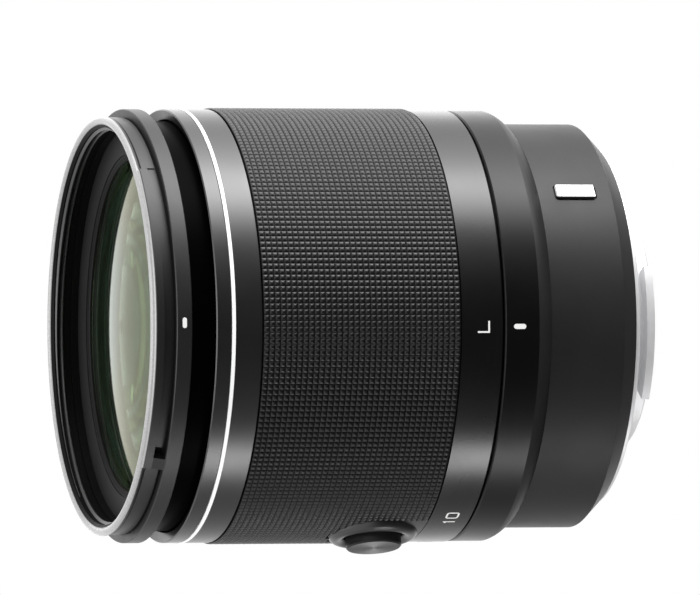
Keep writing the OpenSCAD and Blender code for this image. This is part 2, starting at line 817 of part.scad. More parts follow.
// Cell whose ledge slopes with the rear face of the second glass
module front_cell() {
    seat_z = second_rear_z - ledge_gap;
    fall = sag(second_rear_r, front_glass_rim_r) - sag(second_rear_r, cell_ledge_r);
    color(dark) rotate_extrude() polygon([
        [cell_ledge_r, cell_foot_z], [barrel_in_r, cell_foot_z], [barrel_in_r, z_shelf],
        [cell_bore_r, z_shelf], [cell_bore_r, seat_z], [cell_ledge_r, seat_z - fall]
    ]);
}

module name_ring() {
    color(black) rotate_extrude() polygon([
        [name_ring_in_r, z_shelf], [filter_r, z_shelf], [filter_r, z_name_top],
        [name_ring_in_r, z_name_top - 0.3]
    ]);
}

module front_retainer() {
    in_r = front_glass_rim_r - retainer_lip;
    rise = sag(front_glass_r, front_glass_rim_r) - sag(front_glass_r, in_r) + retainer_gap;
    color(black) rotate_extrude() polygon([
        [in_r, front_edge_z + rise], [front_glass_rim_r, front_edge_z + retainer_gap],
        [cell_bore_r, front_edge_z + retainer_gap], [cell_bore_r, z_shelf],
        [in_r + 0.2, z_shelf - 0.05], [in_r, z_shelf - 0.2]
    ]);
}

module front_lens() {
    color(glass) lens(front_glass_rim_r, second_edge_z, front_edge_z, front_glass_r, -cement_r);
}

module second_lens() {
    color(glass)
        lens(front_glass_rim_r, second_rear_z, second_edge_z, cement_r, second_rear_r);
}

// Variator

// Hub for the two glasses, carried by a web in a rim; the ledge between them slopes with the rear one
module variator_cell() {
    z = z_variator;
    z_top = z + variator_h;
    rim_bore_r = guide_in_r - 1.1;
    web_z = variator_seat_z;
    web_top = web_z + 1.5;
    ledge_r = variator_glass_r - 0.8;
    seat_z = variator_seat_z + ledge_gap;
    rise = sag(variator_curve, variator_glass_r) - sag(variator_curve, ledge_r);
    color(dark) rotate_extrude() polygon([
        [variator_glass_r, z], [hub_r, z], [hub_r, web_z], [rim_bore_r, web_z], [rim_bore_r, z],
        [guide_in_r, z], [guide_in_r, z_top], [rim_bore_r, z_top], [rim_bore_r, web_top],
        [hub_r, web_top], [hub_r, z_top - 1], [variator_glass_r, z_top - 1],
        [variator_glass_r, variator_ledge_z], [ledge_r, variator_ledge_z],
        [ledge_r, seat_z + rise], [variator_glass_r, seat_z]
    ]);
}

module variator_front_lens() {
    color(glass) lens(variator_glass_r, variator_ledge_z, variator_ledge_z + 4.4,
        -120, -variator_curve);
}

module variator_rear_lens() {
    color(glass) lens(variator_glass_r, variator_seat_z - 3, variator_seat_z, variator_curve, -60);
}

// Focus unit

module focus_housing() {
    z0 = z_focus;
    color(dark) difference() {
        union() {
            ring(focus_r, focus_in_r, z0, z0 + focus_base_t);
            ring(focus_r, carriage_r + 1.5, focus_ring_z, focus_top);
            around(3, 45) sector(focus_r, focus_r - 1.8, z0, focus_top, 24);
        }
        around(2, 90) translate([rod_circle_r, 0, z0 + focus_base_t / 2])
            cylinder(d = rod_d, h = focus_top - z0 - focus_base_t);
        at_angle(0) translate([lead_r, 0, focus_ring_z - cut])
            cylinder(d = screw_d + 2 * run_gap, h = focus_base_t + 2 * cut);
    }
}

module focus_rods() {
    color(steel) around(2, 90) translate([rod_circle_r, 0, z_focus + focus_base_t / 2])
        cylinder(d = rod_d, h = focus_top - z_focus - focus_base_t);
}

module focus_motor() {
    color(steel) at_angle(0) translate([lead_r, 0, z_focus + focus_base_t]) difference() {
        union() {
            cylinder(d = motor_d, h = motor_h - 0.4);
            cylinder(d = motor_d - 2.4, h = motor_h);
        }
        translate([0, 0, motor_h - screw_bearing])
            cylinder(d = screw_d + 2 * run_gap, h = screw_bearing + cut);
    }
}

module focus_screw() {
    z0 = z_motor_top - screw_bearing + 0.1;
    color(steel) at_angle(0) translate([lead_r, 0, z0])
        cylinder(d = screw_d, h = focus_ring_z + 0.9 - z0);
}

// Carriage with a long sleeve on one rod, a fork on the other and a nut on the screw
module focus_carriage() {
    arm_w = 2.4;
    sleeve_d = rod_d + 1.8;
    bore_d = rod_d + 2 * run_gap;
    color(dark) difference() {
        union() {
            ring(carriage_r, focus_glass_r, carriage_z, carriage_z + carriage_h);
            at_angle(90) {
                translate([carriage_r - cut, -arm_w / 2, carriage_z])
                    cube([rod_circle_r - carriage_r + cut, arm_w, carriage_h]);
                translate([rod_circle_r, 0, sleeve_z]) cylinder(d = sleeve_d, h = sleeve_h);
            }
            at_angle(270) translate([carriage_r - cut, -sleeve_d / 2, carriage_z])
                cube([rod_circle_r - carriage_r + 1.5 + cut, sleeve_d, 2]);
            at_angle(0) {
                translate([carriage_r - cut, -arm_w / 2, nut_z])
                    cube([lead_r - carriage_r + cut, arm_w, nut_h - cut]);
                translate([lead_r, 0, nut_z]) cylinder(d = sleeve_d, h = nut_h);
            }
        }
        at_angle(90) translate([rod_circle_r, 0, sleeve_z - cut])
            cylinder(d = bore_d, h = sleeve_h + 2 * cut);
        at_angle(270) translate([rod_circle_r - bore_d / 2, -bore_d / 2, carriage_z - cut])
            cube([5, bore_d, 4]);
        at_angle(0) translate([lead_r, 0, nut_z - cut])
            cylinder(d = screw_d + 2 * run_gap, h = nut_h + 2 * cut);
    }
}

module focus_lens() {
    color(glass) lens(focus_glass_r, carriage_z + 0.6, carriage_z + 2.8, 40, -55);
}

// Relay group

module relay_cell() {
    floor_top = relay_floor_z + relay_floor_t;
    window_w = 6;
    color(dark) difference() {
        union() {
            ring(relay_r, relay_in_r, relay_foot_z, z_relay_top);
            ring(relay_in_r + cut, relay_glass_r, relay_floor_z, floor_top);
            ring(relay_tube_r, relay_glass_r, relay_z, floor_top);
            ring(relay_in_r + cut, iris_ledge_r, z_iris - 0.8, z_iris);
            for (s = [-1, 1]) translate([s * key_circle_r, 0, floor_top + key.z / 2 - cut / 2])
                cube([key.x, key.y, key.z + cut], center = true);
        }
        around(pin_count, relay_pin_turn)
            radial_pin(follower_d, relay_in_r - cut, relay_r + cut, relay_pin_z);
        around(pin_count, relay_pin_turn + 60)
            straight_slot(window_w, relay_pin_z + window_w, relay_floor_z - window_w,
                relay_in_r - cut, relay_r + cut);
    }
}

module relay_followers() {
    color(brass) around(pin_count, relay_pin_turn)
        radial_pin(follower_d, relay_in_r, cam_r - 0.15, relay_pin_z);
}

module relay_front_lens() {
    color(glass) lens(relay_glass_r, relay_z + 1.8, relay_z + 4.2, 34, 0);
}

module relay_rear_lens() {
    color(glass) lens(relay_glass_r, relay_z + 0.2, relay_z + 1.8, 0, -80);
}

// Plate that slides along X on the relay cell and guides the frame along Y
module stabiliser_guide() {
    slot = [key.x + 2 * shift + 0.4, key.y + 2 * key_gap];
    color(steel) {
        translate([0, 0, z_guide_plate]) linear_extrude(guide_plate_t) difference() {
            circle(frame_r - 0.4);
            circle(shift_cell_r + 1);
            for (s = [-1, 1]) translate([s * key_circle_r, 0]) square(slot, center = true);
        }
        for (s = [-1, 1])
            translate([0, s * key_circle_r, z_guide_plate + guide_plate_t + key.z / 2 - cut / 2])
                cube([key.y, key.x, key.z + cut], center = true);
    }
}

module stabiliser_frame() {
    slot = [key.y + 2 * key_gap, key.x + 2 * shift + 0.4, key.z + 0.1];
    color(dark) translate([0, 0, z_frame]) difference() {
        union() {
            cylinder(r = frame_r - 0.1, h = frame_t);
            cylinder(r = shift_cell_r, h = frame_t + coil_h);
        }
        translate([0, 0, -cut]) cylinder(r = shift_glass_r, h = frame_t + coil_h + 2 * cut);
        for (s = [-1, 1]) translate([0, s * key_circle_r, slot.z / 2 - cut / 2])
            cube([slot.x, slot.y, slot.z + cut], center = true);
        for (a = [0, 180]) at_angle(90 + a) translate([key_circle_r + 3.6, 0, -cut])
            cylinder(r = 4, h = frame_t + 2 * cut);
    }
}

// Flat coils on the frame
module stabiliser_coils() {
    color("#b5672f") for (a = coil_turns_at) at_angle(a)
        translate([coil_circle_r, 0, z_frame + frame_t]) linear_extrude(coil_h) difference() {
            stadium(9, 5);
            stadium(6, 2);
        }
}

module stabiliser_magnets() {
    color(steel) for (a = coil_turns_at) at_angle(a)
        translate([coil_circle_r - 2.4, -3.5, z_iris - 0.65]) cube([4.8, 7, 0.65]);
}

module stabiliser_lens() {
    color(glass) lens(shift_glass_r, z_frame + 0.1, z_frame + frame_t, 60, -90);
}

// Iris

module iris_base() {
    top = z_iris + iris_base_t;
    color(black) {
        ring(relay_in_r, iris_r + 0.6, z_iris, top);
        ring(rim_r, rim_in_r, top - 0.1, z_rim_top);
        around(blade_count) translate([pivot_circle_r, 0, top - 0.1])
            cylinder(d = pivot_d, h = blade_z - top + blade_count * blade_pitch + 0.1);
    }
}

module iris_cover() {
    color(black) ring(rim_r, iris_r + 1, z_rim_top, z_rim_top + cover_t);
}

// Place of a blade's drive pin when the drive ring has turned by a
function drive_pin(a) = let (pivot = [pivot_circle_r, 0], pin = polar(pivot_circle_r, -drive_lead))
    pivot + spin(pin - pivot, blade_ratio * a);

// Slot in the drive ring: the path of the drive pin, seen from the turning ring
module drive_slot() {
    steps = 12;
    half = drive_pin_d / 2 + 0.1;
    path = [for (i = [0:steps]) let (a = iris_turn * i / steps) spin(drive_pin(a), -a)];
    way = [for (i = [0:steps])
        let (d = path[min(i + 1, steps)] - path[max(i - 1, 0)]) d / norm(d)];
    polygon(concat(
        [for (i = [0:steps]) path[i] + half * [-way[i].y, way[i].x]],
        [for (i = [steps:-1:0]) path[i] + half * [way[i].y, -way[i].x]]));
    for (p = [path[0], path[steps]]) translate(p) circle(half);
}

module iris_ring() {
    color(steel) translate([0, 0, z_drive]) linear_extrude(drive_t) difference() {
        circle(drive_r);
        circle(iris_r + 1.2);
        around(blade_count) drive_slot();
    }
}

// Blade number i, each on its own level: a curved leaf with an ear for its two pins
module iris_blade(i) {
    leaf_r = pivot_circle_r - pivot_d / 2 - 0.65;
    ear = 1.1;
    color("#2f3033") at_angle((i - 1) * 360 / blade_count)
        translate([0, 0, blade_z + (i - 1) * blade_pitch]) {
            linear_extrude(blade_t) difference() {
                union() {
                    polygon(concat(arc(iris_r + 0.1, -8, blade_span, 30),
                        arc(leaf_r, blade_span, -8, 30)));
                    polygon(concat(arc(pivot_circle_r - 1.4, -drive_lead, 4, 10),
                        arc(pivot_circle_r + ear, 4, -drive_lead, 10)));
                    translate(polar(pivot_circle_r, -drive_lead)) circle(ear);
                }
                translate([pivot_circle_r, 0]) circle(d = pivot_d + 2 * run_gap);
            }
            translate(polar(pivot_circle_r, -drive_lead))
                cylinder(d = drive_pin_d, h = z_drive + drive_t - 0.05 - blade_z - (i - 1) * blade_pitch);
        }
}

rear_barrel();
mount_plate();
mount_screws();
mount_index();
contact_block();
contact_pins();
rear_baffle();
rear_cell();
rear_lens();
circuit_board();
guide_tube();
cam_retainer();
variator_cell();
variator_front_lens();
variator_rear_lens();
focus_housing();
focus_rods();
focus_motor();
focus_screw();
focus_carriage();
focus_lens();
zoom_ring();
zoom_grip();
accent_ring();
cam_barrel();
barrel_seal();
button_boss();
lock_button();
lock_spring();
front_barrel();
front_ring();
front_cell();
name_ring();
front_retainer();
front_lens();
second_lens();
front_followers();
relay_cell();
relay_followers();
relay_front_lens();
relay_rear_lens();
stabiliser_guide();
stabiliser_frame();
stabiliser_coils();
stabiliser_lens();
stabiliser_magnets();
iris_base();
iris_ring();
iris_cover();
iris_blade(1);  // iris_blade_1
iris_blade(2);  // iris_blade_2
iris_blade(3);  // iris_blade_3
iris_blade(4);  // iris_blade_4
iris_blade(5);  // iris_blade_5
iris_blade(6);  // iris_blade_6
iris_blade(7);  // iris_blade_7
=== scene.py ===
"""Looks of the zoom lens: finishes, knurled grip, filter thread, printed marks, studio and camera.

Lengths are in millimetres until a mesh is made. Turns are counted about Z from -Y, towards +X.
"""
import json
from math import atan2, ceil, cos, hypot, pi, radians, sin, sqrt

import bpy
from mathutils import Matrix, Vector


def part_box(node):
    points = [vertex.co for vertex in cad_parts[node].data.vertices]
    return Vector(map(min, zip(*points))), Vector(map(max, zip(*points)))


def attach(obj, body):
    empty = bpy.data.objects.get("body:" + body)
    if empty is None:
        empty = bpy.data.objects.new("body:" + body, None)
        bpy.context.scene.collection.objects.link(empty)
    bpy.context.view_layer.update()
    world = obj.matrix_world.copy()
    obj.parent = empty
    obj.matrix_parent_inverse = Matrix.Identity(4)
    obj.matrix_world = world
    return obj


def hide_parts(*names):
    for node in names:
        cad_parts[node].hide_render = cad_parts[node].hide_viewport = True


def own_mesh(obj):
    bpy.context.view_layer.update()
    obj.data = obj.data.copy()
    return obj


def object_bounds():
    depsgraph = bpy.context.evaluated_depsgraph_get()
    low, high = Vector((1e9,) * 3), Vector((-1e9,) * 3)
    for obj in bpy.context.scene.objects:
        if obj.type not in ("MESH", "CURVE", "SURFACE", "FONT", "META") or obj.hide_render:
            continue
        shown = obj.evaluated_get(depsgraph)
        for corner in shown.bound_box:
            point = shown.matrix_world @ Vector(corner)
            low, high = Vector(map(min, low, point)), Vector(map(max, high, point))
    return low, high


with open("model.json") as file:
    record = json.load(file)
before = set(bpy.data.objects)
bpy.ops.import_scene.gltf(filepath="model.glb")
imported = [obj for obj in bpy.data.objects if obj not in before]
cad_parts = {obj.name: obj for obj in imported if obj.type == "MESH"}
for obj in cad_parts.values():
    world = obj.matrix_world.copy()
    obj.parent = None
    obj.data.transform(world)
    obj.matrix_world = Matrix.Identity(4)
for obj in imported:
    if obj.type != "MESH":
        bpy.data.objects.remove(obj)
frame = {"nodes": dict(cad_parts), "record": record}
cad_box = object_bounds()

MM = 0.001

# Photograph's frame: its size, the lens axis' row, the mount seat's column and the scale at the axis
PHOTO_W, PHOTO_H = 700, 595
AXIS_ROW = 326
SEAT_COLUMN = 589
PIXELS_PER_MM = 7.19

# Camera, with its clipping in metres
CAMERA_TILT = radians(15.67)
CAMERA_DISTANCE = 1750
SENSOR_WIDTH = 36
CLIP_NEAR, CLIP_FAR = 0.1, 10

# Belt of light round the lens: turn in degrees and strength
BELT_LIGHT = [
    (-180, 2.8), (-160, 1.7), (-144, 1.0), (-130, 0.6), (-104, 0.35), (-80, 0.4), (-44, 0.15),
    (-22, 0.05), (0, 0.02), (20, 0.04), (40, 0.25), (54, 0.9), (66, 6.0), (76, 9.6), (84, 9.2),
    (96, 4.2), (112, 2.6), (126, 1.7), (140, 1.6), (152, 2.6), (166, 3.4), (180, 2.8),
]
BELT_PEAK = 10.0

# Round lamp low at the side: strength, turn, and how far from its middle it starts and is full
SPOT_LIGHT = 8.5
SPOT_TURN = radians(-75)
SPOT_FROM, SPOT_FULL = radians(11), radians(4)

# Light from above, from straight before the front glass and from below: strength and elevations
DOME_LIGHT = 1.0
DOME_FROM, DOME_FULL = radians(2), radians(22)
FRONT_LIGHT = 3.2
FRONT_FROM, FRONT_FULL = radians(60), radians(74)
NADIR_LIGHT = 0.08
NADIR_FROM, NADIR_FULL = radians(-36), radians(-60)

# Fill on matt surfaces, the plain backdrop, and half the floor's width in metres
FILL_LIGHT = 0.85
BACKDROP_LIGHT = 1.0
FLOOR_REACH = 1.2

# Where finishes and painted light change: foot of the collar, inside the grip (painted light on the front
# band), under the zoom ring's nose (painted shade on the front barrel), and on the lip (polish with a
# painted highlight)
COLLAR_Z = 15.9
GRIP_MIDDLE_Z = 40
GAP_SHADE_Z = 58.5
LIP_Z = 70.15
LIP_INNER_R = 27.9

# How far a change of finish reaches to either side, and the slow fade of the painted shade on the front
# barrel
ZONE_EDGE = 0.05
GAP_SHADE_EDGE = 3

# Noise: where most of its values lie, and the size and detail of handling marks
NOISE_LOW, NOISE_HIGH = 0.3, 0.7
HANDLING_SIZE, HANDLING_DETAIL = 9, 3

# Roughness of a finish: factors by its grain, and shares that handling marks add or shift
GRAIN_GLOSS = (0.94, 1.02)
HANDLING_GLOSS = 0.08
ZONE_GLOSS = 0.06

# Speckle of the zoned blacks: size, relief and share of the tone
SPECKLE_SIZE = 0.14
SPECKLE_RELIEF = 0.003
SPECKLE_TONE = 0.25

# Turned metal: size of its grain, share of the roughness, share of the relief in the grooves, stains
LATHE_GRAIN = 0.08
LATHE_GLOSS = 0.2
GROOVE_SHARE = 0.5
STAIN_SIZE, STAIN_DETAIL = 1.5, 4
STAIN_TONE = 0.85

# Rubber: index, colours and roughness in the valleys and on worn tops, and the grain's size and relief
RUBBER_IOR = 1.62
VALLEY_COLOR = (0.0004, 0.0004, 0.0004)
WORN_COLOR = (0.0015, 0.0015, 0.0016)
VALLEY_ROUGHNESS, WORN_ROUGHNESS = 0.5, 0.34
RUBBER_GRAIN = 0.1
RUBBER_RELIEF = 0.006

# Wear of the rubber, and the painted shade in its valleys: how far below the tops the wear is full and
# the shade gone, the size of the wear's patches, and its least share
WEAR_AND_SHADE_SINK = 0.02
WEAR_PATCH = 0.3
WEAR_LEAST = 0.6

# Painted shade in the rubber's valleys, as a lower specular level: from which to which share of the mask
# it rises, and its levels in the valleys and on the tops
VALLEY_SHADE_FROM, VALLEY_SHADE_FULL = 0.05, 0.6
SHADED_VALLEY_SPECULAR, TOP_SPECULAR = 0.12, 0.5

# Glass: its index and smears, and the film on coated glass with its thickness in nanometres
GLASS_IOR = 1.62
SMEAR_SIZE, SMEAR_DETAIL = 6, 3
SMEAR_FROM, SMEAR_FULL = 0.45, 0.75
SMEAR_ROUGHNESS = 0.004
FILM_IOR = 1.38
FILM_THIN, FILM_THICK = 262, 296
FILM_DRIFT, FILM_DETAIL = 30, 1

# Grip: pitch and depth of its knurl, half a blunt top in pitches, thickness, and the gaps at its ends
KNURL_PITCH = 0.8
KNURL_DEPTH = 0.13
KNURL_TOP = 0.16
GRIP_THICKNESS = 0.8
GRIP_GAP = 0.15

# Filter thread: its profile is a share of its depth and an offset along Z, and its ends fade
THREAD_PITCH = 0.75
THREAD_ROOT_R = 27.5
THREAD_CREST_R = 27.12
THREAD_START, THREAD_END = 68.5, 69.75
THREAD_STEPS = 120
THREAD_PROFILE = [(0, -0.3), (1, -0.07), (1, 0.07), (0, 0.3)]
THREAD_FADE_TURNS = 0.25
THREAD_LEAST_WIDTH = 0.2

# Printed marks: how far they rise and sink, their steps, and the limit of a sharp corner
MARK_RISE = 0.02
MARK_SINK = 0.01
MARK_STEP = 0.3
MITER_LIMIT = 0.6

# Zoom scale: each figure and its turn in degrees
FIGURE_H = 1.6
FIGURE_STROKE = 0.24
FIGURE_GAP = 1.15
ZOOM_FIGURES = [("L", 0), ("10", -62), ("20", -91), ("35", -107), ("50", -121), ("70", -135),
                ("100", -150)]

# Strokes of the figures in units of their height; a zero is a rounded box, its corners in degrees
FIGURES = {
    "L": [[(0, 1), (0, 0), (0.95, 0)]],
    "1": [[(0, 0.8), (0.22, 1), (0.22, 0)]],
    "2": [[(0, 1), (0.85, 1), (0.85, 0.52), (0, 0.52), (0, 0), (0.85, 0)]],
    "3": [[(0, 1), (0.85, 1), (0.85, 0), (0, 0)], [(0.15, 0.52), (0.85, 0.52)]],
    "5": [[(0.85, 1), (0, 1), (0, 0.56), (0.85, 0.56), (0.85, 0), (0, 0)]],
    "7": [[(0, 1), (0.85, 1), (0.3, 0)]],
}
ZERO_W, ZERO_CORNER = 0.9, 0.2
ZERO_ARC = range(0, 91, 15)

# Index dash on the collar and alignment mark on the hood flange: bars with round ends and narrow tips
DASH_L, DASH_W = 1.75, 0.7
DASH_Z = 18.7
HOOD_MARK_L, HOOD_MARK_W = 1.45, 0.6
HOOD_MARK_Z = 66.3
HOOD_MARK_TURN = radians(1)
PILL_STEPS = 24
PILL_TIP = 0.02

# Finishes with a fine grain
GRAINED = {
    "satin_black": dict(color=(0.009, 0.009, 0.0094), roughness=0.33, ior=1.8, depth=0.0025),
    "name_black": dict(color=(0.012, 0.012, 0.0124), roughness=0.5, ior=1.35, grain=0.2),
    "retainer_black": dict(color=(0.004, 0.004, 0.0042), roughness=0.5, ior=1.25, grain=0.2),
    "trim_black": dict(color=(0.012, 0.012, 0.0125), roughness=0.42, ior=1.6, grain=0.2),
    "inner_black": dict(color=(0.01, 0.01, 0.01), roughness=0.6, ior=1.45, grain=0.25),
    "blade_black": dict(color=(0.02, 0.02, 0.021), roughness=0.45, metallic=0.3),
    "felt": dict(color=(0.006, 0.006, 0.006), roughness=0.95, ior=1.3, grain=0.06, depth=0.03),
    "board_green": dict(color=(0.012, 0.09, 0.04), roughness=0.35, grain=0.4, depth=0.006),
    "mark_white": dict(color=(0.72, 0.72, 0.71), roughness=0.55, grain=0.08, depth=0.003, tone=0.06),
    "index_chrome": dict(color=(0.86, 0.86, 0.87), roughness=0.14, metallic=1.0, depth=0.0005, tone=0.03),
    "steel": dict(color=(0.5, 0.5, 0.51), roughness=0.3, metallic=1.0, depth=0.001, tone=0.08),
    "inner_metal": dict(color=(0.05, 0.05, 0.052), roughness=0.4, metallic=0.6),
    "gold": dict(color=(0.9, 0.62, 0.22), roughness=0.2, metallic=1.0, depth=0.0008, tone=0.08),
    "copper": dict(color=(0.66, 0.27, 0.12), roughness=0.35, metallic=1.0, grain=0.15, depth=0.01),
}

# Blacks in zones, each zone as its tone, roughness and index; some zones paint light or shade
ZONED = {
    # Painted light: the zoom ring's front band, past the grip's middle, is a lighter and glossier copy of
    # the same black, for the extra light that falls on it
    "ring_black": dict(zone=(0.002, 0.28, 1.7),
                       changes=[("height", GRIP_MIDDLE_Z, (0.007, 0.32, 1.87))]),
    "rear_black": dict(zone=(0.008, 0.5, 1.5),
                       changes=[("height", COLLAR_Z, (0.001, 0.35, 1.43))]),
    # Painted highlight: the lip is polished to a glossier finish and painted light grey, for the
    # highlight that the front light puts on it; inside the lip a duller, darker black
    "hood_black": dict(zone=(0.005, 0.45, 1.66),
                       changes=[("height", LIP_Z, (0.3, 0.32, 2.2)),
                                ("inset", -LIP_INNER_R, (0.002, 0.5, 1.2))]),
    # Painted shade: the front of the barrel, seen in the gap under the zoom ring's nose, turns to a
    # near-black that hardly reflects, fading in over a few millimetres, for the shade in that groove
    "barrel_black": dict(zone=(0.004, 0.4, 1.4),
                         changes=[("height", GAP_SHADE_Z, (0.0006, 0.38, 1.07))], edge=GAP_SHADE_EDGE),
}

# Metals turned about the optical axis, and the button's, which is turned about its own
TURNED = {
    "accent_silver": dict(color=(0.97, 0.97, 0.975), roughness=0.4, pitch=0.06, depth=0.0004,
                          metallic=0.05),
    "mount_steel": dict(color=(0.8, 0.8, 0.81), roughness=0.42, pitch=0.12, depth=0.0008,
                        metallic=0.45, fan=0.5),
    "brass": dict(color=(0.72, 0.52, 0.22), roughness=0.28, pitch=0.1, depth=0.001),
}
BUTTON_METAL = dict(color=(0.03, 0.03, 0.031), roughness=0.34, pitch=0.16, depth=0.0006,
                    metallic=0.7, fan=0.8)

# Tints of the glasses
GLASSES = {
    "glass": dict(color=(0.5, 0.62, 0.47)),
    "coated_glass": dict(color=(0.54, 0.64, 0.48), coated=True),
}

# Nodes with a finish of their own, where it isn't their slot's
FINISH_OF_NODE = {
    "rear_barrel": "rear_black", "zoom_ring": "ring_black", "front_ring": "hood_black",
    "name_ring": "name_black", "front_retainer": "retainer_black",
    "front_lens": "coated_glass", "rear_lens": "coated_glass",
}


# Node helpers

def new_material(name, color, roughness, metallic=0.0, ior=1.5):
    """Material with one Principled shader, whose plain values are set on its own sockets."""
    material = bpy.data.materials.new(name)
    material.use_nodes = True
    shader = material.node_tree.nodes["Principled BSDF"]
    shader.inputs["Base Color"].default_value = (*color, 1)
    shader.inputs["Roughness"].default_value = roughness
    shader.inputs["Metallic"].default_value = metallic
    shader.inputs["IOR"].default_value = ior
    return material, material.node_tree, shader


def object_place(tree):
    return tree.nodes.new("ShaderNodeTexCoord").outputs["Object"]


def split_place(tree, place):
    node = tree.nodes.new("ShaderNodeSeparateXYZ")
    tree.links.new(place, node.inputs[0])
    return node.outputs


def math_node(tree, operation, *values):
    node = tree.nodes.new("ShaderNodeMath")
    node.operation = operation
    for socket, value in zip(node.inputs, values):
        if isinstance(value, (int, float)):
            socket.default_value = value
        else:
            tree.links.new(value, socket)
    return node.outputs[0]


def vector_node(tree, operation, *values):
    node = tree.nodes.new("ShaderNodeVectorMath")
    node.operation = operation
    for socket, value in zip(node.inputs, values):
        if isinstance(value, bpy.types.NodeSocket):
            tree.links.new(value, socket)
        else:
            socket.default_value = value
    return node.outputs


def lean(tree, value, weight, target):
    """Value moved towards the target by the weight."""
    return math_node(tree, "MULTIPLY_ADD", weight, math_node(tree, "SUBTRACT", target, value), value)


def noise(tree, size, detail=2.0):
    """Noise from 0 to 1 whose features are about the given size, in millimetres."""
    node = tree.nodes.new("ShaderNodeTexNoise")
    node.inputs["Scale"].default_value = 1 / (size * MM)
    node.inputs["Detail"].default_value = detail
    tree.links.new(object_place(tree), node.inputs["Vector"])
    return node.outputs["Fac"]


def remap(tree, value, low, high, to_low, to_high):
    """Value eased from one range to another, and held at the ends."""
    node = tree.nodes.new("ShaderNodeMapRange")
    node.interpolation_type = "SMOOTHSTEP"
    for socket, number in zip(list(node.inputs)[1:5], (low, high, to_low, to_high)):
        socket.default_value = number
    tree.links.new(value, node.inputs["Value"])
    return node.outputs["Result"]


def spread(tree, value, low, high):
    """Noise stretched from where most of its values lie to the given range."""
    return remap(tree, value, NOISE_LOW, NOISE_HIGH, low, high)


def blend_colors(tree, factor, first, second):
    node = tree.nodes.new("ShaderNodeMix")
    node.data_type = "RGBA"
    node.inputs["A"].default_value = (*first, 1)
    node.inputs["B"].default_value = (*second, 1)
    tree.links.new(factor, node.inputs["Factor"])
    return node.outputs["Result"]


def add_bump(tree, shader, height, depth):
    """Relief whose full height is the given depth, in millimetres."""
    node = tree.nodes.new("ShaderNodeBump")
    node.inputs["Strength"].default_value = 1
    node.inputs["Distance"].default_value = depth * MM
    tree.links.new(height, node.inputs["Height"])
    tree.links.new(node.outputs["Normal"], shader.inputs["Normal"])


def axis_distance(tree, place):
    """Distance from the local Z axis, in metres."""
    parts = split_place(tree, place)
    squares = [math_node(tree, "POWER", parts[name], 2.0) for name in ("X", "Y")]
    return math_node(tree, "SQRT", math_node(tree, "ADD", *squares))


# Finishes

def grained(name, color, roughness, metallic=0.0, ior=1.5, grain=0.12, depth=0.004, tone=0.25):
    """Finish with a fine grain in its colour, gloss and relief, and handling marks in its gloss."""
    material, tree, shader = new_material(name, color, roughness, metallic, ior)
    fine = noise(tree, grain)
    darker = [c * (1 - tone) for c in color]
    lighter = [min(1, c * (1 + tone)) for c in color]
    tree.links.new(blend_colors(tree, fine, darker, lighter), shader.inputs["Base Color"])
    grain_gloss = spread(tree, fine, *(roughness * share for share in GRAIN_GLOSS))
    handling = spread(tree, noise(tree, HANDLING_SIZE, HANDLING_DETAIL), 0, roughness * HANDLING_GLOSS)
    tree.links.new(math_node(tree, "ADD", grain_gloss, handling), shader.inputs["Roughness"])
    add_bump(tree, shader, fine, depth)
    return material


def zoned(name, zone, changes, edge=ZONE_EDGE):
    """Satin black in zones, each given as its tone, roughness and index.

    A change is given by its measure, its place on that measure and the zone beyond it. Height runs along
    Z, and inset runs towards the axis, so its places are negative radii.
    """
    material, tree, shader = new_material(name, (zone[0],) * 3, zone[1], ior=zone[2])
    place = object_place(tree)
    measures = {"height": split_place(tree, place)["Z"],
                "inset": math_node(tree, "MULTIPLY", axis_distance(tree, place), -1.0)}
    values = zone
    for measure, start, beyond in changes:
        weight = remap(tree, measures[measure], (start - edge) * MM, (start + edge) * MM, 0, 1)
        values = [lean(tree, value, weight, target) for value, target in zip(values, beyond)]
    tone, roughness, ior = values
    fine = noise(tree, SPECKLE_SIZE)
    speckle = spread(tree, fine, 1 - SPECKLE_TONE, 1 + SPECKLE_TONE)
    tree.links.new(math_node(tree, "MULTIPLY", tone, speckle), shader.inputs["Base Color"])
    handling = spread(tree, noise(tree, HANDLING_SIZE, HANDLING_DETAIL), 1 - ZONE_GLOSS, 1 + ZONE_GLOSS)
    tree.links.new(math_node(tree, "MULTIPLY", roughness, handling), shader.inputs["Roughness"])
    tree.links.new(ior, shader.inputs["IOR"])
    add_bump(tree, shader, fine, SPECKLE_RELIEF)
    return material


def turned(name, color, roughness, pitch, depth, metallic=1.0, center=(0, 0, 0), axis=(0, 0, 1),
           fan=0.0):
    """Metal with the fine round marks of a lathe about an axis; fan draws its highlights out from it."""
    material, tree, shader = new_material(name, color, roughness, metallic)
    from_center = vector_node(tree, "SUBTRACT", object_place(tree), center)["Vector"]
    around = vector_node(tree, "CROSS_PRODUCT", axis, from_center)["Vector"]
    reach = vector_node(tree, "LENGTH", around)["Value"]
    grooves = math_node(tree, "SINE", math_node(tree, "MULTIPLY", reach, 2 * pi / (pitch * MM)))
    fine = noise(tree, LATHE_GRAIN)
    gloss = spread(tree, fine, roughness * (1 - LATHE_GLOSS), roughness * (1 + LATHE_GLOSS))
    tree.links.new(gloss, shader.inputs["Roughness"])
    stained = [c * STAIN_TONE for c in color]
    stains = blend_colors(tree, noise(tree, STAIN_SIZE, STAIN_DETAIL), stained, color)
    tree.links.new(stains, shader.inputs["Base Color"])
    add_bump(tree, shader, math_node(tree, "MULTIPLY_ADD", grooves, GROOVE_SHARE, fine), depth)
    if fan:
        shader.inputs["Anisotropic"].default_value = fan
        turn = tree.nodes.new("ShaderNodeVectorTransform")
        turn.vector_type, turn.convert_from, turn.convert_to = "VECTOR", "OBJECT", "WORLD"
        tree.links.new(around, turn.inputs[0])
        tree.links.new(turn.outputs[0], shader.inputs["Tangent"])
    return material


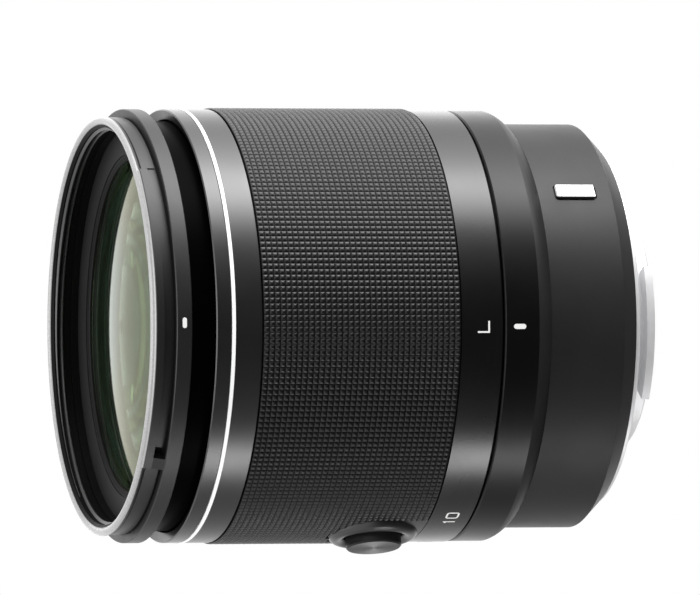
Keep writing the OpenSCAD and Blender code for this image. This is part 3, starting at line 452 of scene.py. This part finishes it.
def knurled_rubber():
    """Black rubber, worn to grey on the tops of the knurl, with painted shade in its valleys from a lower
    specular level.
    """
    material, tree, shader = new_material("grip_rubber", WORN_COLOR, WORN_ROUGHNESS, ior=RUBBER_IOR)
    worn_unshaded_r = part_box("zoom_grip")[1].y - WEAR_AND_SHADE_SINK * MM
    reach = axis_distance(tree, object_place(tree))
    wear = remap(tree, reach, worn_unshaded_r - KNURL_DEPTH * MM, worn_unshaded_r, 0, 1)
    patches = math_node(tree, "MULTIPLY", wear, spread(tree, noise(tree, WEAR_PATCH), WEAR_LEAST, 1))
    color = blend_colors(tree, patches, VALLEY_COLOR, WORN_COLOR)
    gloss = remap(tree, patches, 0, 1, VALLEY_ROUGHNESS, WORN_ROUGHNESS)
    # Painted shade: the specular level drops into the knurl's valleys
    valley_shade_specular = remap(tree, wear, VALLEY_SHADE_FROM, VALLEY_SHADE_FULL, SHADED_VALLEY_SPECULAR, TOP_SPECULAR)
    tree.links.new(color, shader.inputs["Base Color"])
    tree.links.new(gloss, shader.inputs["Roughness"])
    tree.links.new(valley_shade_specular, shader.inputs["Specular IOR Level"])
    add_bump(tree, shader, noise(tree, RUBBER_GRAIN), RUBBER_RELIEF)
    return material


def tinted_glass(name, color, coated=False):
    """Clear glass, faintly smeared; coated glass has a film whose thickness drifts a little."""
    material, tree, shader = new_material(name, color, 0.0, ior=GLASS_IOR)
    shader.inputs["Transmission Weight"].default_value = 1
    smears = noise(tree, SMEAR_SIZE, SMEAR_DETAIL)
    tree.links.new(remap(tree, smears, SMEAR_FROM, SMEAR_FULL, 0, SMEAR_ROUGHNESS),
                   shader.inputs["Roughness"])
    if coated:
        shader.inputs["Thin Film IOR"].default_value = FILM_IOR
        film = spread(tree, noise(tree, FILM_DRIFT, FILM_DETAIL), FILM_THIN, FILM_THICK)
        tree.links.new(film, shader.inputs["Thin Film Thickness"])
    return material


def button_axis():
    """Middle of the lock button, and the way outwards along its travel."""
    low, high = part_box("lock_button")
    middle = (low + high) / 2
    return middle, Vector((middle.x, middle.y, 0)).normalized()


def make_finishes():
    """Materials by the record's slot, and a few more by the names that nodes and marks use."""
    makers = ((grained, GRAINED), (zoned, ZONED), (turned, TURNED), (tinted_glass, GLASSES))
    finishes = {name: make(name, **look) for make, looks in makers for name, look in looks.items()}
    middle, outward = button_axis()
    finishes["button_metal"] = turned("button_metal", **BUTTON_METAL, center=middle, axis=outward)
    finishes["grip_rubber"] = knurled_rubber()
    return finishes


def dress_nodes(finishes):
    """Gives each CAD node its slot's finish, or its own."""
    slot_of = {row["node"]: row["material_slot"] for row in frame["record"]["subparts"]}
    for name, node in frame["nodes"].items():
        node.data.materials.clear()
        node.data.materials.append(finishes[FINISH_OF_NODE.get(name, slot_of[name])])


# Pieces

def on_barrel(radius, turn, z):
    """Point on a cylinder about the optical axis; the turn is in radians."""
    return radius * sin(turn), -radius * cos(turn), z


def add_piece(name, vertices, faces, material, body):
    """Mesh from points in millimetres, which moves with a body."""
    mesh = bpy.data.meshes.new(name)
    mesh.from_pydata([[c * MM for c in v] for v in vertices], [], faces)
    mesh.validate()
    mesh.materials.append(material)
    piece = bpy.data.objects.new(name, mesh)
    bpy.context.scene.collection.objects.link(piece)
    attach(piece, body)
    return piece


def in_boss(turn, z, radius, center, button_turn, boss_r):
    """Whether a place on the grip lies in the smooth patch round the lock button."""
    across = (turn - button_turn + pi) % (2 * pi) - pi
    side, along = across * radius, z - center
    return abs(side) < boss_r and (along < 0 or hypot(side, along) < boss_r)


def knurled_grip(material):
    """Rubber sleeve of small blunt pyramids, closed by its ends, its bore and the button's cut."""
    low, high = (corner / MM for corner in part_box("zoom_grip"))
    low.z, high.z = low.z + GRIP_GAP, high.z - GRIP_GAP
    middle = button_axis()[0] / MM
    button_turn = atan2(middle.x, -middle.y)
    boss_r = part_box("button_boss")[1].z / MM - middle.z
    top_r = high.y
    valley_r = top_r - KNURL_DEPTH
    bore_r = top_r - GRIP_THICKNESS
    columns = round(2 * pi * top_r / KNURL_PITCH)
    rows = round((high.z - low.z) / KNURL_PITCH)
    step_turn, step_z = 2 * pi / columns, (high.z - low.z) / rows
    kept = {(i, j) for i in range(rows) for j in range(columns)
            if not in_boss((j + 0.5) * step_turn, low.z + (i + 0.5) * step_z, top_r, middle.z,
                           button_turn, boss_r)}
    vertices, faces, index = [], [], {}

    def corner(i, j, radius):
        key = (i, j % columns, radius)
        if key not in index:
            index[key] = len(vertices)
            vertices.append(on_barrel(radius, j % columns * step_turn, low.z + i * step_z))
        return index[key]

    before, after = 0.5 - KNURL_TOP, 0.5 + KNURL_TOP
    diamond = [(before, 0.5), (0.5, after), (after, 0.5), (0.5, before)]
    for i, j in sorted(kept):
        base = [(i, j), (i, j + 1), (i + 1, j + 1), (i + 1, j)]
        outer = [corner(a, b, valley_r) for a, b in base]
        inner = [corner(a, b, bore_r) for a, b in base]
        first = len(vertices)
        for a, b in diamond:
            vertices.append(on_barrel(top_r, (j + b) * step_turn, low.z + (i + a) * step_z))
        top = list(range(first, first + 4))
        faces.append(top)
        faces.extend([outer[k], outer[(k + 1) % 4], top[k]] for k in range(4))
        faces.extend([outer[(k + 1) % 4], top[(k + 1) % 4], top[k]] for k in range(4))
        faces.append(inner[::-1])
        beside = [(i - 1, j), (i, (j + 1) % columns), (i + 1, j), (i, (j - 1) % columns)]
        faces.extend([inner[k], inner[(k + 1) % 4], outer[(k + 1) % 4], outer[k]]
                     for k in range(4) if beside[k] not in kept)
    grip = add_piece("knurled_grip", vertices, faces, material, "zoom_ring")
    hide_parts("zoom_grip")


def filter_thread(material):
    """Helical ridge of the filter thread, fading in and out at its ends."""
    count = ceil((THREAD_END - THREAD_START) / THREAD_PITCH * THREAD_STEPS)
    fade = THREAD_STEPS * THREAD_FADE_TURNS
    vertices, faces = [], []
    for i in range(count + 1):
        rise = min(1, (i + 1) / fade, (count - i + 1) / fade)
        turn = 2 * pi * i / THREAD_STEPS
        z = THREAD_START + i * THREAD_PITCH / THREAD_STEPS
        for share, offset in THREAD_PROFILE:
            radius = THREAD_ROOT_R - (THREAD_ROOT_R - THREAD_CREST_R) * share * rise
            vertices.append(on_barrel(radius, turn, z + offset * max(rise, THREAD_LEAST_WIDTH)))
    for i in range(count):
        a, b = 4 * i, 4 * (i + 1)
        faces.extend([a + k, b + k, b + (k + 1) % 4, a + (k + 1) % 4] for k in range(4))
    faces += [[3, 2, 1, 0], [4 * count + k for k in range(4)]]
    add_piece("filter_thread", vertices, faces, material, "front_group")


def button_spring():
    """Spring of the lock button, as a copy of its own mesh that moves with the zoom ring."""
    coil = frame["nodes"]["lock_spring"]
    outward = button_axis()[1]
    heights = [(coil.matrix_world @ v.co).dot(outward) for v in coil.data.vertices]
    spring = bpy.data.objects.new("button_spring", coil.data.copy())
    bpy.context.scene.collection.objects.link(spring)
    spring.matrix_world = coil.matrix_world
    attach(spring, "zoom_ring")
    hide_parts("lock_spring")
    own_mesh(spring)
    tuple(outward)


# Printed marks

def refine(path, closed):
    """Path with points no further apart than MARK_STEP."""
    points = []
    ends = path[1:] + path[:1] if closed else path[1:]
    for (u0, v0), (u1, v1) in zip(path, ends):
        parts = max(1, ceil(hypot(u1 - u0, v1 - v0) / MARK_STEP))
        points += [(u0 + (u1 - u0) * k / parts, v0 + (v1 - v0) * k / parts) for k in range(parts)]
    return points if closed else points + [path[-1]]


def ribbon(path, half_widths, closed, radius, turn, z):
    """Thin solid strip along a path on a cylinder: u runs round it from turn, and v along Z from z."""
    count = len(path)
    vertices, faces = [], []
    for i, (u, v) in enumerate(path):
        before = path[i - 1] if closed or i else None
        after = path[(i + 1) % count] if closed or i < count - 1 else None
        ways = [Vector((b[0] - a[0], b[1] - a[1])).normalized()
                for a, b in ((before, (u, v)), ((u, v), after)) if a and b]
        way = sum(ways, Vector((0, 0))).normalized()
        reach = half_widths[i] * (1 / max(MITER_LIMIT, way.dot(ways[0])))
        for side, lift in ((1, MARK_RISE), (-1, MARK_RISE), (-1, -MARK_SINK), (1, -MARK_SINK)):
            across, along = u - way.y * reach * side, z + v + way.x * reach * side
            vertices.append(on_barrel(radius + lift, turn + across / radius, along))
    for i in range(count if closed else count - 1):
        a, b = 4 * i, 4 * ((i + 1) % count)
        faces.extend([a + (k + 1) % 4, b + (k + 1) % 4, b + k, a + k] for k in range(4))
    if not closed:
        faces += [[0, 1, 2, 3], [4 * count - 1, 4 * count - 2, 4 * count - 3, 4 * count - 4]]
    return vertices, faces


def zero_path():
    """Rounded box of a zero, one unit high."""
    corners = [(ZERO_W, 1, 0), (0, 1, 90), (0, 0, 180), (ZERO_W, 0, 270)]
    path = []
    for x, y, start in corners:
        cx = min(max(x, ZERO_CORNER), ZERO_W - ZERO_CORNER)
        cy = min(max(y, ZERO_CORNER), 1 - ZERO_CORNER)
        angles = [radians(start + a) for a in ZERO_ARC]
        path += [(cx + ZERO_CORNER * cos(a), cy + ZERO_CORNER * sin(a)) for a in angles]
    return path


def figure_strips(text, radius, turn, z):
    """Strips of a short figure whose middle stands at the given turn."""
    widths = [ZERO_W if c == "0" else max(p[0] for s in FIGURES[c] for p in s) for c in text]
    total = sum(widths) * FIGURE_H + (len(text) - 1) * FIGURE_GAP
    left = -total / 2
    for c, width in zip(text, widths):
        closed = c == "0"
        for stroke in [zero_path()] if closed else FIGURES[c]:
            path = [(left + x * FIGURE_H, (y - 0.5) * FIGURE_H) for x, y in stroke]
            path = refine(path, closed)
            yield ribbon(path, [FIGURE_STROKE / 2] * len(path), closed, radius, turn, z)
        left += width * FIGURE_H + FIGURE_GAP


def pill_strip(length, width, round_barrel, radius, turn, z):
    """Bar with round ends, along Z or round the barrel."""
    places = [-length / 2 * cos(pi * k / PILL_STEPS) for k in range(PILL_STEPS + 1)]
    path = [(s, 0) if round_barrel else (0, s) for s in places]
    straight = (length - width) / 2
    into_ends = [max(0, abs(s) - straight) for s in places]
    halves = [sqrt(max(PILL_TIP ** 2, (width / 2) ** 2 - s ** 2)) for s in into_ends]
    return ribbon(path, halves, False, radius, turn, z)


def add_marks(name, strips, material, body):
    """One piece from several strips."""
    vertices, faces = [], []
    for points, quads in strips:
        faces += [[i + len(vertices) for i in q] for q in quads]
        vertices += points
    add_piece(name, vertices, faces, material, body)


def printed_marks(material):
    """Zoom scale on its band, index dash on the collar and alignment mark on the hood flange."""
    band_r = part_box("zoom_ring")[1].y / MM
    collar_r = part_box("rear_barrel")[1].y / MM
    hood_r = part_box("front_ring")[1].y / MM
    scale_z = (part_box("rear_barrel")[1].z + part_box("zoom_grip")[0].z) / 2 / MM
    scale = [strip for text, turn in ZOOM_FIGURES
             for strip in figure_strips(text, band_r, radians(turn), scale_z)]
    dash = pill_strip(DASH_L, DASH_W, False, collar_r, 0, DASH_Z)
    hood_mark = pill_strip(HOOD_MARK_L, HOOD_MARK_W, True, hood_r, HOOD_MARK_TURN, HOOD_MARK_Z)
    add_marks("zoom_scale", scale, material, "zoom_ring")
    add_marks("index_dash", [dash], material, "barrel")
    add_marks("hood_mark", [hood_mark], material, "front_group")


# Studio and camera

def floor_material():
    """White light towards above, and clear from below."""
    material = bpy.data.materials.new("studio_floor")
    material.use_nodes = True
    tree = material.node_tree
    tree.nodes.clear()
    mix = tree.nodes.new("ShaderNodeMixShader")
    tree.links.new(tree.nodes.new("ShaderNodeNewGeometry").outputs["Backfacing"], mix.inputs[0])
    tree.links.new(tree.nodes.new("ShaderNodeEmission").outputs[0], mix.inputs[1])
    tree.links.new(tree.nodes.new("ShaderNodeBsdfTransparent").outputs[0], mix.inputs[2])
    tree.links.new(mix.outputs[0], tree.nodes.new("ShaderNodeOutputMaterial").inputs["Surface"])
    return material


def studio_floor():
    """Floor under the lens that only the camera sees, and only from above."""
    corners = [(-1, -1), (1, -1), (1, 1), (-1, 1)]
    mesh = bpy.data.meshes.new("studio_floor")
    mesh.from_pydata([(x * FLOOR_REACH, y * FLOOR_REACH, cad_box[0].z) for x, y in corners],
                     [], [(0, 1, 2, 3)])
    mesh.materials.append(floor_material())
    floor = bpy.data.objects.new("studio_floor", mesh)
    bpy.context.scene.collection.objects.link(floor)
    floor.visible_diffuse = floor.visible_glossy = floor.visible_transmission = False
    floor.visible_shadow = floor.visible_volume_scatter = False


def belt_light(tree, way):
    """Strength of the belt of light in a direction, by its turn."""
    turn = math_node(tree, "ARCTAN2", way["X"], math_node(tree, "MULTIPLY", way["Y"], -1.0))
    ramp = tree.nodes.new("ShaderNodeValToRGB")
    ramp.color_ramp.interpolation = "EASE"
    stops = ramp.color_ramp.elements
    while len(stops) < len(BELT_LIGHT):
        stops.new(0.5)
    for stop, (angle, _) in zip(stops, BELT_LIGHT):
        stop.position = (angle + 180) / 360
    for stop, (_, strength) in zip(stops, BELT_LIGHT):
        stop.color = (strength / BELT_PEAK,) * 3 + (1,)
    tree.links.new(math_node(tree, "MULTIPLY_ADD", turn, 1 / (2 * pi), 0.5), ramp.inputs["Fac"])
    return math_node(tree, "MULTIPLY", ramp.outputs["Color"], BELT_PEAK)


def studio_light():
    """Soft light from all round.

    It has a belt, a round lamp low at the side, a dome above that is brightest straight before the front
    glass, a dim floor below and a fill on matt surfaces.
    """
    world = bpy.data.worlds.new("studio")
    bpy.context.scene.world = world
    world.use_nodes = True
    tree = world.node_tree
    tree.nodes.clear()
    toward = tree.nodes.new("ShaderNodeTexCoord").outputs["Generated"]
    way = split_place(tree, toward)
    spot_way = on_barrel(cos(CAMERA_TILT), SPOT_TURN, -sin(CAMERA_TILT))
    facing = vector_node(tree, "DOT_PRODUCT", toward, spot_way)["Value"]
    lights = [
        (SPOT_LIGHT, remap(tree, facing, cos(SPOT_FROM), cos(SPOT_FULL), 0, 1)),
        (DOME_LIGHT, remap(tree, way["Z"], sin(DOME_FROM), sin(DOME_FULL), 0, 1)),
        (FRONT_LIGHT, remap(tree, way["Z"], sin(FRONT_FROM), sin(FRONT_FULL), 0, 1)),
        (NADIR_LIGHT, remap(tree, way["Z"], sin(NADIR_FULL), sin(NADIR_FROM), 1, 0)),
    ]
    strength = belt_light(tree, way)
    for light, weight in lights:
        strength = lean(tree, strength, weight, light)
    ray = tree.nodes.new("ShaderNodeLightPath").outputs
    strength = math_node(tree, "MULTIPLY_ADD", ray["Is Diffuse Ray"], FILL_LIGHT, strength)
    strength = lean(tree, strength, ray["Is Camera Ray"], BACKDROP_LIGHT)
    background = tree.nodes.new("ShaderNodeBackground")
    tree.links.new(strength, background.inputs["Strength"])
    tree.links.new(background.outputs[0], tree.nodes.new("ShaderNodeOutputWorld").inputs["Surface"])


def photo_camera():
    """Long lens at the photograph's angle, with the lens axis level and its front to the left."""
    back = Vector((0, -cos(CAMERA_TILT), sin(CAMERA_TILT)))
    up = Vector((1, 0, 0))
    right = up.cross(back)
    target = Vector(((AXIS_ROW - PHOTO_H / 2) / PIXELS_PER_MM, 0,
                     (SEAT_COLUMN - PHOTO_W / 2) / PIXELS_PER_MM / cos(CAMERA_TILT)))
    data = bpy.data.cameras.new("photo_camera")
    data.sensor_width = SENSOR_WIDTH
    data.lens = SENSOR_WIDTH * CAMERA_DISTANCE * PIXELS_PER_MM / PHOTO_W
    data.clip_start, data.clip_end = CLIP_NEAR, CLIP_FAR
    camera = bpy.data.objects.new("photo_camera", data)
    bpy.context.scene.collection.objects.link(camera)
    turn = Matrix((right, up, back)).transposed()
    camera.matrix_world = Matrix.Translation((target + back * CAMERA_DISTANCE) * MM) @ turn.to_4x4()
    bpy.context.scene.camera = camera


finishes = make_finishes()
dress_nodes(finishes)
knurled_grip(finishes["grip_rubber"])
button_spring()
filter_thread(finishes["satin_black"])
printed_marks(finishes["mark_white"])
studio_floor()
studio_light()
photo_camera()
bpy.context.scene.view_settings.view_transform = "Standard"
